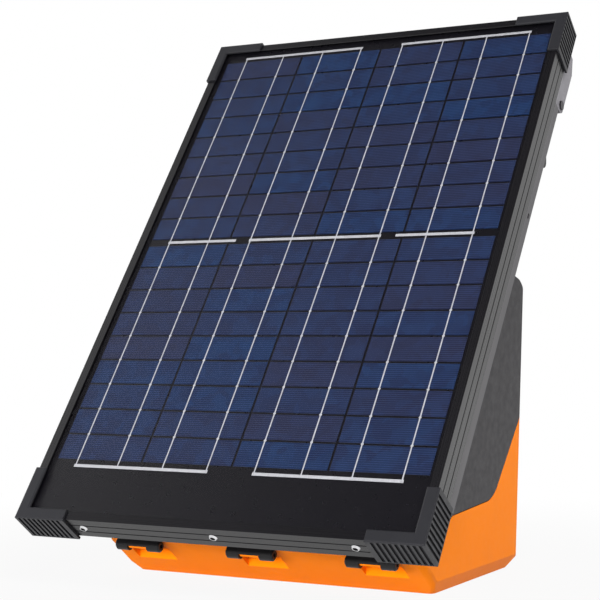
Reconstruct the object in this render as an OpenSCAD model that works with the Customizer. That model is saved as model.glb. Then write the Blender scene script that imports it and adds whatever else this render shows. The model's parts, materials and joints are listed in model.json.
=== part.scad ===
// Portable solar fence energizer: framed panel on a hinged housing over a battery tub.
// Millimetres. X to the right, Y to the back, Z up; the origin is under the middle of the object.

/* [Panel] */
// Width of the panel frame
panel_w = 339.5; // [330:0.5:420]
// Length of the panel frame along its slope
panel_len = 513.5; // [505:0.5:640]
// Tilt of the panel from the ground, degrees
panel_tilt = 53.5; // [50:0.5:58]
// Height of the frame's lower front edge over the ground
lip_height = 52.2; // [46:0.2:70]
// Depth of the frame behind its front lip
frame_depth = 24; // [20:0.5:30]
// Width of the front lip
lip_w = 7; // [5:0.5:9]
// Thickness of the front lip
lip_t = 1.2; // [1:0.1:2]
// Wall of the frame extrusion
frame_wall = 1.6; // [1.2:0.1:2.4]
// Width of the frame's rear flange
rear_flange_w = 16; // [12:1:20]
// Width of the grooves along the frame's outer face
groove_w = 1.1; // [0.6:0.1:1.4]
// Depth of these grooves
groove_depth = 0.8; // [0.3:0.05:0.8]
// Distance of the first groove behind the lip
groove_first = 7.8; // [6:0.2:9]
// Distance of the second groove behind the lip
groove_second = 16.2; // [13:0.2:17]
// Thickness of the cover glass
glass_t = 2; // [1.6:0.1:3.2]
// Thickness of the back sheet with its encapsulant
backsheet_t = 0.9; // [0.5:0.1:1.5]

/* [Solar cells] */
// Width of one cell
cell_w = 78; // [70:0.5:80]
// Height of one cell
cell_h = 22.3; // [18:0.1:23]
// Thickness of one cell
cell_t = 0.3; // [0.2:0.05:0.4]
// Gap between cell columns
cell_gap_x = 2; // [1:0.2:3]
// Gap between cell rows
cell_gap_y = 1.9; // [1:0.1:2.5]
// Height of the strip between the upper and the lower half of the field
mid_strip = 8; // [6:0.5:10]
// Distance from the frame's lower edge to the cell field
field_bottom = 55.8; // [50:0.1:60]
// Least distance from the cell field to the frame's upper edge
field_top = 16.5; // [14:0.5:30]
// Width of a cell ribbon
ribbon_w = 1; // [0.8:0.1:3]
// Thickness of a cell ribbon
ribbon_t = 0.15; // [0.1:0.05:0.3]
// Width of a collector ribbon
collector_w = 2.6; // [2:0.2:5]
// Length of an outer middle collector past its inner ribbon
collector_tail = 25.5; // [0:0.5:30]

/* [Corner guards] */
// Length of a guard's arm, from its outer corner
guard_arm = 45.5; // [40:0.5:55]
// Wall of a guard outside the frame
guard_wall = 2; // [1.8:0.1:4]
// Height of a guard's face over the lip
guard_face = 2.2; // [1.8:0.1:5]
// Width of a guard's face, from its outer edge
guard_face_w = 10; // [8:0.5:13]
// Depth of a guard's side behind the lip
guard_depth = 26.5; // [22:0.5:30]
// Pitch of the ribs on a guard's sides
guard_rib_pitch = 4.5; // [4:0.1:6]
// Depth of the grooves between the ribs
guard_groove = 1.4; // [0.6:0.1:1.4]
// Width of these grooves
guard_groove_w = 2.6; // [1.5:0.1:3]
// Size of the bevels along a guard's front edges
guard_bevel = 0.9; // [0.6:0.1:1.4]

/* [Panel rails] */
// Depth of the support rail behind the frame
rail_depth = 9; // [7:0.5:12]
// Width of the support rail
rail_w = 22; // [18:1:28]
// Wall of the support rail
rail_wall = 1.8; // [1.4:0.1:2.5]
// Distance of the rail's lower end from the frame's lower edge
rail_start = 43; // [40:1:50]

/* [Housing and tub] */
// Half width of the flat bottom
bottom_half = 130; // [120:0.5:132]
// Half width of the side walls just above the bottom chamfer
low_half = 136; // [134:0.5:142]
// Height of the side chamfer
chamfer_h = 10.5; // [8:0.5:13]
// Outward lean of the side walls, degrees
side_draft = 1.8; // [1:0.1:2.4]
// Distance from the frame's lower front edge back to the flat bottom
tub_setback = 109.5; // [105:0.5:120]
// Distance from the frame's lower front edge back to the back wall
back_setback = 277.6; // [265:0.1:300]
// Length of the chamfer under the back wall
back_chamfer = 16; // [8:0.5:20]
// Rise of the front ramp, degrees
ramp_angle = 37; // [35:0.5:40]
// Height of the rim over the hinges
rim_height = 30.5; // [29:0.5:32]
// Height of the parting line at the front bend
part_front_z = 56; // [50:0.5:62]
// Distance of the front bend behind the frame's lower front edge
part_front_setback = 130.8; // [120:0.2:140]
// Height of the parting line at the rear bend
part_bend_z = 61; // [57:0.1:66]
// Distance of the rear bend behind the frame's lower front edge
part_bend_setback = 215; // [200:0.2:225]
// Slope of the parting line behind the rear bend, degrees
part_slope = 48; // [42:0.5:52]
// Radius of the parting line's rear bend
part_bend_r = 32; // [20:1:40]
// Height of the housing's top at the back wall
top_back_z = 235.5; // [225:0.1:250]
// Fall of the housing's top towards the back, degrees
top_slope = 12; // [8:0.5:18]
// Radius between the housing's top and back
top_r = 26; // [12:1:30]
// Radius of the upright rear edges
back_r = 8; // [5:0.5:12]
// Radius of the upright front edges
front_r = 12; // [8:0.5:18]
// Radius between the ramp and the side walls
ramp_r = 6; // [5:0.5:18]
// Wall of the housing and the tub
wall = 3; // [2.6:0.1:3.6]
// Thickness of the housing's mounting plate
plate_t = 4; // [3:0.5:5]

/* [Hinges and handle] */
// Distance between the hinge clips
clip_pitch = 101; // [90:1:105]
// Length of one clip knuckle
knuckle_len = 11.5; // [8:0.5:13]
// Radius of the knuckles
knuckle_r = 4.75; // [4:0.05:5]
// Size of the bevel on a knuckle's outer end
knuckle_bevel = 1.2; // [0.8:0.1:1.6]
// Length of the boss between two knuckles
boss_len = 17; // [14:0.5:24]
// Radius of a hinge pin
hinge_pin_r = 1.6; // [1.3:0.1:1.8]
// Height of the hinge axis
hinge_z = 27; // [26.5:0.1:27.5]
// Space between the ramp and the knuckles
knuckle_gap = 0.75; // [0.5:0.05:1.5]
// Width of the pocket in the ramp under each clip
pocket_w = 36; // [24:0.5:40]
// Height of the pocket's lower edge
pocket_low = 13; // [12:0.5:18]
// Thickness of the bar that joins two knuckles in front of the boss
clip_bar_t = 1.25; // [1:0.05:1.6]
// Distance of the handle's pivot from the frame's upper edge
pivot_drop = 67.5; // [60:0.5:80]
// Radius of the round end of an ear, and of the handle's eyes
ear_boss_r = 6.5; // [5.5:0.5:8]
// Space between the rail's back and that round end
ear_boss_gap = 1; // [0.5:0.1:2]
// Length of an ear's foot below its pivot
ear_foot = 12; // [9:0.5:16]
// Length of an ear above its pivot
ear_len = 56; // [50:1:57]
// Thickness of an ear
ear_t = 8; // [6:0.5:10]
// Depth of an ear's upper end
ear_tip = 7.5; // [5:0.5:10]
// Length of an ear's sloped back
ear_slope_len = 14; // [10:1:20]
// Distance between an ear and the handle's arm
arm_gap = 7; // [4:0.5:10]
// Thickness of the handle's arms
arm_t = 7; // [5:0.5:9]
// Radius of a handle pin
handle_pin_r = 3; // [2.5:0.1:3.5]
// Reach of the handle from its pivot to its bar
handle_reach = 46; // [40:1:50]
// Radius of the handle's bar
handle_bar_r = 6; // [5:0.5:7]
// Length of the soft grip
grip_len = 110; // [90:5:140]
// Radius of the soft grip
grip_r = 9.5; // [8:0.5:11]

/* [Electrics] */
// Width of the battery
battery_w = 151; // [90:1:180]
// Depth of the battery
battery_d = 65; // [50:1:78]
// Height of the battery case
battery_h = 94; // [70:1:96]
// Width of the circuit board
board_w = 170; // [150:1:200]
// Height of the circuit board
board_h = 78; // [70:1:84]
// Distance of each terminal from the middle
terminal_x = 72; // [60:1:90]
// Height of the terminals
terminal_z = 168; // [160:1:185]
// Radius of a terminal stud
stud_r = 4; // [3:0.1:5]
// Radius of the wire hole through a stud
wire_hole_r = 1.6; // [1:0.1:2]
// Radius of a terminal knob
knob_r = 15; // [12:0.5:18]
// Height of the power button
button_z = 192; // [185:1:200]
// Radius of the power button
button_r = 9; // [7:0.5:11]

/* [Fits] */
// Radial clearance of a turning or sliding fit
running_gap = 0.05; // [0.03:0.01:0.08]
// Radial clearance of a fixed pin or screw
fixed_gap = 0.03; // [0.02:0.01:0.06]
// Gap between the housing and the tub at the parting line
rim_gap = 0.8; // [0.5:0.05:1.2]
// Side play between parts that turn past each other
side_play = 0.4; // [0.3:0.05:0.8]
// Radial space between a hinge boss and the clip's bar that turns around it
bar_gap = 0.4; // [0.3:0.05:0.6]

/* [Hidden] */
$fn = 64;
// Overshoot that keeps cuts clear of the faces they open
over = 1;
// Length that reaches past the whole object
far = 400;
// How far a fillet's circle stands past the faces it joins, so that it meets them at a slight angle
fillet_bite = 0.03;

// Colours
orange = [1, 0.5, 0.05];
housing_grey = [0.31, 0.31, 0.32];
frame_black = [0.2, 0.2, 0.21];
rail_grey = [0.42, 0.41, 0.42];
guard_black = [0.22, 0.22, 0.23];
ear_grey = [0.58, 0.57, 0.59];
cell_blue = [0.13, 0.19, 0.38];
steel = [0.75, 0.75, 0.77];
brass = [0.8, 0.65, 0.3];
clip_black = [0.12, 0.12, 0.13];

// Layers of the laminate, as depths behind the lip's front
glass_front = lip_t;
ribbon_front = glass_front + glass_t;
cell_front = ribbon_front + ribbon_t;
sheet_front = cell_front + cell_t;
sheet_back = sheet_front + backsheet_t;
laminate_gap = 0.4;
laminate_w = panel_w - 2 * (frame_wall + laminate_gap);
laminate_len = panel_len - 2 * (frame_wall + laminate_gap);

// Cell field
columns = 4;
ribbons_per_cell = 2;
pitch_x = cell_w + cell_gap_x;
pitch_y = cell_h + cell_gap_y;
half_room = (panel_len - field_bottom - field_top - mid_strip) / 2;
rows_per_half = floor((half_room + cell_gap_y) / pitch_y);
half_field = rows_per_half * pitch_y - cell_gap_y;
field_w = columns * pitch_x - cell_gap_x;
field_len = 2 * half_field + mid_strip;
ribbon_offset = cell_w / 4;
collector_above = 4.5;
collector_below = 6;

// Rails behind the frame
rail_back = frame_depth + rail_depth;
pivot_s = panel_len - pivot_drop;
rail_end_gap = 0.4;
rail_end = pivot_s - ear_foot - rail_end_gap;
rail_screw_x = panel_w / 2 - 15;
rail_rivet_x = panel_w / 2 - rear_flange_w / 2;
rail_mid_depth = frame_depth + rail_depth / 2;
rail_rivet_in = 30;
rail_rivet_first = rail_start + rail_rivet_in;
rail_rivet_last = rail_end - rail_rivet_in;
rail_rivet_places = [rail_rivet_first, (rail_rivet_first + rail_rivet_last) / 2, rail_rivet_last];
housing_screw_first = rail_start + 17;
housing_screw_pitch = 70;
housing_screw_places = [for (i = [0 : 3]) housing_screw_first + i * housing_screw_pitch];
drain_s = 310;
drain_len = 5;
drain_w = 2.6;
bottom_rivet_pitch = 115;
bottom_rivet_places = [-bottom_rivet_pitch, 0, bottom_rivet_pitch];
bottom_rivet_depth = 11.6;
screw_r = 1.75;
screw_bite = 2;
screw_head_r = 3.6;
screw_crown_r = 2.5;
screw_head_h = 2.4;
rivet_r = 1.6;
rivet_bore_r = 0.9;
rivet_tail_r = 2.4;
rivet_head_r = 3.3;
rivet_crown_r = 2.6;
rivet_dish_r = 2.1;
rivet_dish = 1;
rivet_head_h = 1.3;

// Handle ear, as [distance up the slope, depth behind the lip]
pivot_depth = rail_back + ear_boss_r + ear_boss_gap;
ear_depth = pivot_depth + ear_boss_r;
ear_top_s = pivot_s + ear_len;
ear_outline = [
    [pivot_s - ear_foot, frame_depth],
    [ear_top_s, frame_depth],
    [ear_top_s - 1, rail_back + ear_tip],
    [ear_top_s - ear_slope_len, ear_depth],
    [pivot_s, ear_depth],
    [pivot_s - ear_foot, rail_back]
];
ear_inset = 2.5;
ear_outer_x = panel_w / 2 - ear_inset;
ear_screw_x = ear_outer_x - ear_t / 2;
ear_screw_places = [pivot_s + 14, pivot_s + 44];
ear_screw_bite = 6;
arm_outer_x = ear_outer_x - ear_t - arm_gap;
arm_inner_x = arm_outer_x - arm_t;
pin_head_t = 1.4;
pin_head_over = 1;
pin_proud = 1.5;

// The panel stands so that the whole object is centred on Y
cos_t = cos(panel_tilt);
sin_t = sin(panel_tilt);
front_reach = -guard_wall * cos_t - guard_face * sin_t;
rear_reach = max([for (p = ear_outline) p[0] * cos_t + p[1] * sin_t]);
panel_y = -(front_reach + rear_reach) / 2;
pivot_y = panel_y + pivot_s * cos_t + pivot_depth * sin_t;
pivot_z = lip_height + pivot_s * sin_t - pivot_depth * cos_t;

// Side outline of the housing and tub together
tub_front_y = panel_y + tub_setback;
back_y = panel_y + back_setback;
front_y = ramp_y(rim_height);
plate_y0 = panel_y + rail_back * sin_t;
plate_z0 = lip_height - rail_back * cos_t;
top_rise = top_back_z + (back_y - plate_y0) * tan(top_slope) - plate_z0;
top_s = top_rise / (sin_t + cos_t * tan(top_slope));
front_s = (front_y - plate_y0) / cos_t;
plate_half = panel_w / 2 - 8;
plate_start = rail_start + 2;
plate_over = 4;
body_outline = [
    [tub_front_y, 0],
    [back_y - back_chamfer, 0],
    [back_y, chamfer_h],
    [back_y, top_back_z],
    [plate_y0 + top_s * cos_t, plate_z0 + top_s * sin_t],
    [front_y, plate_z0 + front_s * sin_t],
    [front_y, rim_height]
];
chamfer_draft = atan((low_half - bottom_half) / chamfer_h);
front_outline = [
    [-bottom_half, 0],
    [bottom_half, 0],
    [low_half, chamfer_h],
    [side_x(far), far],
    [-side_x(far), far],
    [-low_half, chamfer_h]
];
part_front_y = panel_y + part_front_setback;
part_bend_y = panel_y + part_bend_setback;
part_points = [
    [front_y, rim_height],
    [part_front_y, part_front_z],
    [part_bend_y, part_bend_z],
    [part_bend_y + far, part_bend_z + far * tan(part_slope)]
];
seal_w = 1.4;
seal_depth = 1.6;
seal_inset = (wall - seal_w) / 2;
seal_below_lid = 0.3;

// Hinge axis, clear of the ramp by the knuckle's radius and gap
hinge_y = tub_front_y - (knuckle_r + knuckle_gap + hinge_z * cos(ramp_angle)) / sin(ramp_angle);
clip_half = boss_len / 2 + side_play + knuckle_len;
clip_plate_t = 3;
clip_plate_top = hinge_z + 32;
clip_screw_z = hinge_z + 22;
clip_screw_x = 12;
clip_screw_proud = 1;
clip_places = [-clip_pitch, 0, clip_pitch];
clip_shoulder = 13;
clip_rim_gap = 0.7;
pin_inset = 3;
// The bar stands a little behind the knuckles' faces and turns around the boss
bar_inset = 0.2;
bar_r = knuckle_r - bar_inset;
bar_bore_r = bar_r - clip_bar_t;
bar_drop = 0.8;
bar_front_angle = 35;
boss_r = bar_bore_r - bar_gap;
boss_low = hinge_z - boss_r;
boss_neck_drop = 1.5;
boss_neck_angle = 60;
pocket_top = boss_low - 0.5;

// Back wall fittings
inner_back_y = back_y - wall;
board_gap = 11;
board_t = 1.6;
board_back_y = inner_back_y - board_gap;
board_front_y = board_back_y - board_t;
board_z = top_back_z - 62;
board_hole_in = 7;
board_hole_x = board_w / 2 - board_hole_in;
board_hole_z = board_h / 2 - board_hole_in;
board_boss_r = 4;
board_screw_bite = 7;
base_r = 13;
base_t = 2.5;
base_edge = 1;
stud_out = 22;
stud_in = 9;
knob_gap = 7;
knob_h = 17;
knob_bore = stud_out - knob_gap + over;
bezel_r = button_r + 4;
bezel_neck_r = bezel_r - 1.5;
bezel_out = 2.5;
button_out = 4.5;
button_travel = 2;
button_guide = 9;
button_back_y = back_y + bezel_out - button_guide;
light_x = 26;
light_r = 2.6;

// Junction box behind the panel, with its gland through the lid
box_w = 82;
box_len = 58;
box_s = 170;
box_lid_t = 2;
box_lid_in = 3;
gland_s = box_s + box_len / 2;
gland_r = 6;
gland_hole_r = gland_r + 0.3;
gland_proud = 2;

// Battery place on the tub's floor
battery_y = tub_front_y + 82;
battery_front_y = battery_y - battery_d / 2;
battery_gap = 0.5;
rib_t = 3;
rib_h = 12;
rib_break = 40;
strap_t = 1.5;
strap_w = 18;
strap_gap = 0.4;
strap_boss_h = 14;
strap_boss_r = 5;
strap_screw_bite = 9;
strap_foot = 15;
strap_hole_x = battery_w / 2 + battery_gap + rib_t + strap_boss_r + 3;
strap_leg_x = battery_w / 2 + strap_gap;

function unit(v) = v / norm(v);
function side_x(z) = low_half + (z - chamfer_h) * tan(side_draft);
function ramp_y(z) = tub_front_y - z / tan(ramp_angle);
// Where the line from a along u meets the line from b along v
function meet(a, u, b, v) =
    a + u * ((b[0] - a[0]) * v[1] - (b[1] - a[1]) * v[0]) / (u[0] * v[1] - u[1] * v[0]);
function left_of(u) = [-u[1], u[0]];
// A counter-clockwise outline moved inwards by d
function inset(points, d) = [
    for (i = [0 : len(points) - 1])
        let (
            here = points[i],
            into = unit(here - points[(i + len(points) - 1) % len(points)]),
            out = unit(points[(i + 1) % len(points)] - here)
        )
        meet(here + d * left_of(into), into, here + d * left_of(out), out)
];

// Panel frame of reference: x across, y up the slope, z out of the face, 0 at the lip
module on_panel() {
    translate([0, panel_y, lip_height]) rotate([panel_tilt, 0, 0]) children();
}
// A box on the panel, from a depth behind the lip to a greater depth
module slab(x, s, size_x, size_s, depth, depth_end) {
    translate([x, s, -depth_end]) cube([size_x, size_s, depth_end - depth]);
}
// A side outline in Y and Z, drawn out along X
module across(x0, x1) {
    translate([x0, 0, 0]) rotate([90, 0, 90]) linear_extrude(x1 - x0) children();
}
// A front outline in X and Z, drawn out along Y
module along(y0, y1) {
    translate([0, y1, 0]) rotate([90, 0, 0]) linear_extrude(y1 - y0) children();
}
module rod_x(x0, x1, r) {
    translate([x0, 0, 0]) rotate([0, 90, 0]) cylinder(h = x1 - x0, r = r);
}
// A rod along Y, from y0 towards the back
module rod_y(y0, y1, r) {
    translate([0, y1, 0]) rotate([90, 0, 0]) cylinder(h = y1 - y0, r = r);
}
module both_sides() {
    children();
    mirror([1, 0, 0]) children();
}
// Waste between a corner at p, with sides along a and b, and its fillet
module corner_waste(p, a, b, r) {
    half = acos(a * b) / 2;
    centre = p + unit(a + b) * r / sin(half);
    end_a = p + a * r / tan(half);
    end_b = p + b * r / tan(half);
    difference() {
        polygon([
            p - unit(a + b) * over / sin(half),
            end_a + unit(end_a - centre) * over,
            centre,
            end_b + unit(end_b - centre) * over
        ]);
        translate(centre) circle(r + fillet_bite);
    }
}
// Pan-head screw along Z, with its head's seat at 0
module screw(length) {
    translate([0, 0, -length]) cylinder(h = length + over / 10, r = screw_r);
    cylinder(h = screw_head_h / 2, r = screw_head_r);
    translate([0, 0, screw_head_h / 2])
        cylinder(h = screw_head_h / 2, r1 = screw_head_r, r2 = screw_crown_r);
}
// Blind rivet along Z through a sheet from -grip to 0, with a hollow head
module rivet(grip) {
    difference() {
        union() {
            translate([0, 0, -grip - rivet_head_h]) cylinder(h = rivet_head_h, r = rivet_tail_r);
            translate([0, 0, -grip]) cylinder(h = grip, r = rivet_r);
            cylinder(h = rivet_head_h, r1 = rivet_head_r, r2 = rivet_crown_r);
        }
        translate([0, 0, -grip]) cylinder(h = far, r = rivet_bore_r);
        translate([0, 0, rivet_head_h - rivet_dish])
            cylinder(h = rivet_dish + over / 10, r1 = rivet_bore_r, r2 = rivet_dish_r);
    }
}

// Section of the frame: first value inwards from the outer face, second value depth behind the lip
module frame_section() {
    difference() {
        square([rear_flange_w, frame_depth]);
        translate([frame_wall, sheet_back + frame_wall])
            square([far, frame_depth - sheet_back - 2 * frame_wall]);
        translate([frame_wall, lip_t]) square([far, sheet_back - lip_t]);
        translate([lip_w, -over]) square([far, sheet_back + frame_wall + over * 2]);
        for (depth = [groove_first, groove_second])
            translate([-over, depth]) square([over + groove_depth, groove_w]);
    }
}
// A frame side from 0 to length along X, outer face at y 0, with mitred ends
module frame_side(length) {
    intersection() {
        rotate([90, 0, 90]) mirror([0, 1]) linear_extrude(length) frame_section();
        translate([0, 0, -far]) linear_extrude(2 * far)
            polygon([[0, 0], [length, 0], [length / 2, length / 2]]);
    }
}
module frame_side_left() {
    translate([-panel_w / 2, panel_len, 0]) rotate([0, 0, -90]) frame_side(panel_len);
}
module frame_flange_holes() {
    for (s = rail_rivet_places)
        translate([-rail_rivet_x, s, -frame_depth - over])
            cylinder(h = frame_wall + 2 * over, r = rivet_r + fixed_gap);
    for (s = ear_screw_places)
        translate([-ear_screw_x, s, -frame_depth - over])
            cylinder(h = frame_wall + 2 * over, r = screw_r + fixed_gap);
}

module frame_rail_left() {
    color(frame_black) on_panel() difference() {
        frame_side_left();
        frame_flange_holes();
    }
}
module frame_rail_right() {
    color(frame_black) on_panel() mirror([1, 0, 0]) difference() {
        frame_side_left();
        frame_flange_holes();
    }
}
module frame_rail_bottom() {
    color(frame_black) on_panel() difference() {
        translate([-panel_w / 2, 0, 0]) frame_side(panel_w);
        for (x = bottom_rivet_places)
            translate([x, 0, -bottom_rivet_depth]) rotate([90, 0, 0])
                cylinder(h = 2 * over + 2 * frame_wall, r = rivet_r + fixed_gap, center = true);
    }
}
module frame_rail_top() {
    color(frame_black) on_panel() translate([panel_w / 2, panel_len, 0])
        rotate([0, 0, 180]) frame_side(panel_w);
}
module bottom_rivets() {
    color(steel) on_panel() for (x = bottom_rivet_places)
        translate([x, 0, -bottom_rivet_depth]) rotate([90, 0, 0]) rivet(frame_wall);
}

module laminate_layer(depth, depth_end) {
    slab(-laminate_w / 2, frame_wall + laminate_gap, laminate_w, laminate_len, depth, depth_end);
}
module panel_glass() {
    color([0.1, 0.11, 0.14, 0.4]) on_panel() laminate_layer(glass_front, ribbon_front);
}
module backsheet() {
    color([0.08, 0.08, 0.09]) on_panel() laminate_layer(sheet_front, sheet_back);
}
// Lower edge of a row, with the second half of the rows past the middle strip
function row_s(row) =
    field_bottom + row * pitch_y + (row < rows_per_half ? 0 : mid_strip - cell_gap_y);
function column_x(column) = -field_w / 2 + column * pitch_x;
module solar_cells() {
    color(cell_blue) on_panel()
        for (column = [0 : columns - 1], row = [0 : 2 * rows_per_half - 1])
            slab(column_x(column), row_s(row), cell_w, cell_h, cell_front, sheet_front);
}
function ribbon_x(i) =
    column_x(floor(i / ribbons_per_cell)) + cell_w / 2
    + (i % ribbons_per_cell == 0 ? -ribbon_offset : ribbon_offset);
// A collector joins the ribbons from first to last at a height on the slope, with a free tail at either end
module collector(first, last, s, tail_first = 0, tail_last = 0) {
    low = ribbon_x(first) - collector_w / 2 - tail_first;
    high = ribbon_x(last) + collector_w / 2 + tail_last;
    slab(low, s - collector_w / 2, high - low, collector_w, ribbon_front, cell_front);
}
module cell_ribbons() {
    ribbon_low = field_bottom - collector_below;
    ribbon_high = field_bottom + field_len + collector_above;
    middle = field_bottom + field_len / 2;
    color([0.8, 0.8, 0.82]) on_panel() union() {
        for (i = [0 : columns * ribbons_per_cell - 1])
            slab(
                ribbon_x(i) - ribbon_w / 2, ribbon_low,
                ribbon_w, ribbon_high - ribbon_low, ribbon_front, cell_front
            );
        for (group = [[0, 3], [4, 7]]) {
            collector(group[0], group[1], ribbon_low);
            collector(group[0], group[1], ribbon_high);
        }
        collector(0, 1, middle, tail_last = collector_tail);
        collector(2, 5, middle);
        collector(6, 7, middle, tail_first = collector_tail);
    }
}
module junction_box() {
    rim_depth = frame_depth - box_lid_t;
    lid_w = box_w - 2 * box_lid_in;
    lid_len = box_len - 2 * box_lid_in;
    gland_len = rail_depth + wall + 2 * gland_proud;
    color(clip_black) on_panel() union() {
        slab(-box_w / 2, box_s, box_w, box_len, sheet_back, rim_depth);
        slab(-lid_w / 2, box_s + box_lid_in, lid_w, lid_len, rim_depth - over / 10, frame_depth);
        translate([0, gland_s, -rail_back - wall - gland_proud]) cylinder(h = gland_len, r = gland_r);
    }
}

// One guard at a corner of the frame, with its arms along +X and +Y
module guard_shape() {
    corner_land = 2.5;
    end_land = 1;
    front_land = 1.4;
    rear_land = 0.8;
    groove_len = guard_depth + guard_face - front_land - rear_land;
    bevel_side = guard_bevel * sqrt(2);
    inner = guard_face_w - guard_wall;
    groove_room = guard_arm - corner_land - guard_groove_w - end_land;
    groove_count = floor(groove_room / guard_rib_pitch) + 1;
    first_groove = corner_land - guard_wall;
    difference() {
        translate([-guard_wall, -guard_wall, -guard_depth])
            cube([guard_arm, guard_arm, guard_depth + guard_face]);
        translate([0, 0, -guard_depth - over]) cube([far, far, guard_depth + over]);
        translate([inner, inner, -over]) cube([far, far, far]);
        intersection_for (turn = [0, 1]) mirror([turn, -turn, 0])
            translate([0, inner - guard_bevel, guard_face]) rotate([-45, 0, 0])
                translate([-far, -far, 0]) cube([2 * far, 2 * far, far]);
        for (turn = [0, 1]) mirror([turn, -turn, 0]) {
            for (i = [0 : groove_count - 1])
                translate([first_groove + i * guard_rib_pitch, -guard_wall - over, -guard_depth + rear_land])
                    cube([guard_groove_w, over + guard_groove, groove_len]);
            translate([0, -guard_wall, guard_face]) rotate([45, 0, 0])
                cube([far, bevel_side, bevel_side], center = true);
        }
    }
}
module guard_at(side, upper) {
    color(guard_black) on_panel()
        translate([side * panel_w / 2, upper ? panel_len : 0, 0])
            mirror([side > 0 ? 1 : 0, 0, 0]) mirror([0, upper ? 1 : 0, 0]) guard_shape();
}
module corner_guard_lower_left() { guard_at(-1, false); }
module corner_guard_lower_right() { guard_at(1, false); }
module corner_guard_upper_left() { guard_at(-1, true); }
module corner_guard_upper_right() { guard_at(1, true); }

// Channel behind the frame's left side, open towards the middle
module rail_shape() {
    difference() {
        slab(-panel_w / 2, rail_start, rail_w, rail_end - rail_start, frame_depth, rail_back);
        slab(
            -panel_w / 2 + rail_wall, rail_start - over, rail_w, far * 2,
            frame_depth + rail_wall, rail_back - rail_wall
        );
        for (s = housing_screw_places)
            translate([-rail_screw_x, s, -rail_back - over])
                cylinder(h = rail_wall + 2 * over, r = screw_r + fixed_gap);
        for (s = rail_rivet_places)
            translate([-rail_rivet_x, s, -rail_mid_depth]) cylinder(h = far, r = rivet_r + fixed_gap);
        translate([-panel_w / 2 - over, drain_s, -rail_mid_depth - drain_w / 2])
            cube([over + 2 * rail_wall, drain_len, drain_w]);
    }
}
module panel_rail_left() { color(rail_grey) on_panel() rail_shape(); }
module panel_rail_right() { color(rail_grey) on_panel() mirror([1, 0, 0]) rail_shape(); }
module rail_rivets() {
    color(steel) on_panel() both_sides() for (s = rail_rivet_places)
        translate([-rail_rivet_x, s, -frame_depth + frame_wall]) rivet(frame_wall + rail_wall);
}
module housing_screws() {
    color(steel) on_panel() both_sides() for (s = housing_screw_places)
        translate([-rail_screw_x, s, -rail_back - plate_t]) mirror([0, 0, 1])
            screw(plate_t + rail_wall + screw_bite);
}

// Side outline of an ear: first value up the slope, second value depth behind the lip
module ear_side() {
    polygon(ear_outline);
    translate([pivot_s, pivot_depth]) circle(ear_boss_r);
}
// Ear that carries one end of the handle, on the left
module ear_shape() {
    on_panel() difference() {
        union() {
            translate([-ear_outer_x, 0, 0]) rotate([90, 0, 90]) mirror([0, 1])
                linear_extrude(ear_t) union() ear_side();
            translate([0, pivot_s, -pivot_depth])
                rod_x(-ear_outer_x, -arm_outer_x - side_play, ear_boss_r);
        }
        translate([0, pivot_s, -pivot_depth]) rod_x(-far, 0, handle_pin_r + fixed_gap);
        for (s = ear_screw_places)
            translate([-ear_screw_x, s, -frame_depth - ear_screw_bite - over])
                cylinder(h = far, r = screw_r + fixed_gap);
    }
}
module handle_ear_left() { color(ear_grey) ear_shape(); }
module handle_ear_right() { color(ear_grey) mirror([1, 0, 0]) ear_shape(); }
module ear_screws() {
    color(steel) on_panel() both_sides() for (s = ear_screw_places)
        translate([-ear_screw_x, s, -frame_depth + frame_wall]) screw(frame_wall + ear_screw_bite);
}
module handle_pins() {
    color(steel) on_panel() both_sides() translate([0, pivot_s, -pivot_depth]) {
        rod_x(-ear_outer_x - pin_head_t / 2, -arm_inner_x + pin_proud, handle_pin_r);
        rod_x(-ear_outer_x - pin_head_t, -ear_outer_x, handle_pin_r + pin_head_over);
    }
}
// Handle hanging straight down from its pivots
module carry_handle() {
    arm_w = 2 * handle_bar_r;
    color(clip_black) translate([0, pivot_y, pivot_z]) difference() {
        union() {
            both_sides() across(-arm_outer_x, -arm_inner_x) union() {
                circle(ear_boss_r);
                translate([-arm_w / 2, -handle_reach]) square([arm_w, handle_reach]);
                translate([0, -handle_reach]) circle(handle_bar_r);
            }
            translate([0, 0, -handle_reach]) rod_x(-arm_outer_x, arm_outer_x, handle_bar_r);
        }
        rod_x(-far, far, handle_pin_r + running_gap);
    }
}
module handle_grip() {
    end_r = 2.5;
    color([0.16, 0.16, 0.17]) translate([-grip_len / 2, pivot_y, pivot_z - handle_reach])
        rotate([0, 90, 0]) rotate_extrude() difference() {
            translate([handle_bar_r + fixed_gap, 0]) square([grip_r - handle_bar_r - fixed_gap, grip_len]);
            corner_waste([grip_r, 0], [-1, 0], [0, 1], end_r);
            corner_waste([grip_r, grip_len], [-1, 0], [0, -1], end_r);
        }
}

// Outline and block of the housing and tub together, moved inwards by d
module body_profile(d) {
    points = inset(body_outline, d);
    top = points[3];
    difference() {
        polygon(points);
        corner_waste(top, unit(points[4] - top), [0, -1], top_r - d);
    }
}
// Waste along an upright edge at the right, between a side wall and a wall that faces y
module upright_edge(y, facing, d, r) {
    translate([side_x(0) - d / cos(side_draft), y, 0]) rotate([0, side_draft, 0])
        translate([0, 0, -far / 10]) linear_extrude(far) corner_waste([0, 0], [-1, 0], [0, -facing], r);
}
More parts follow.
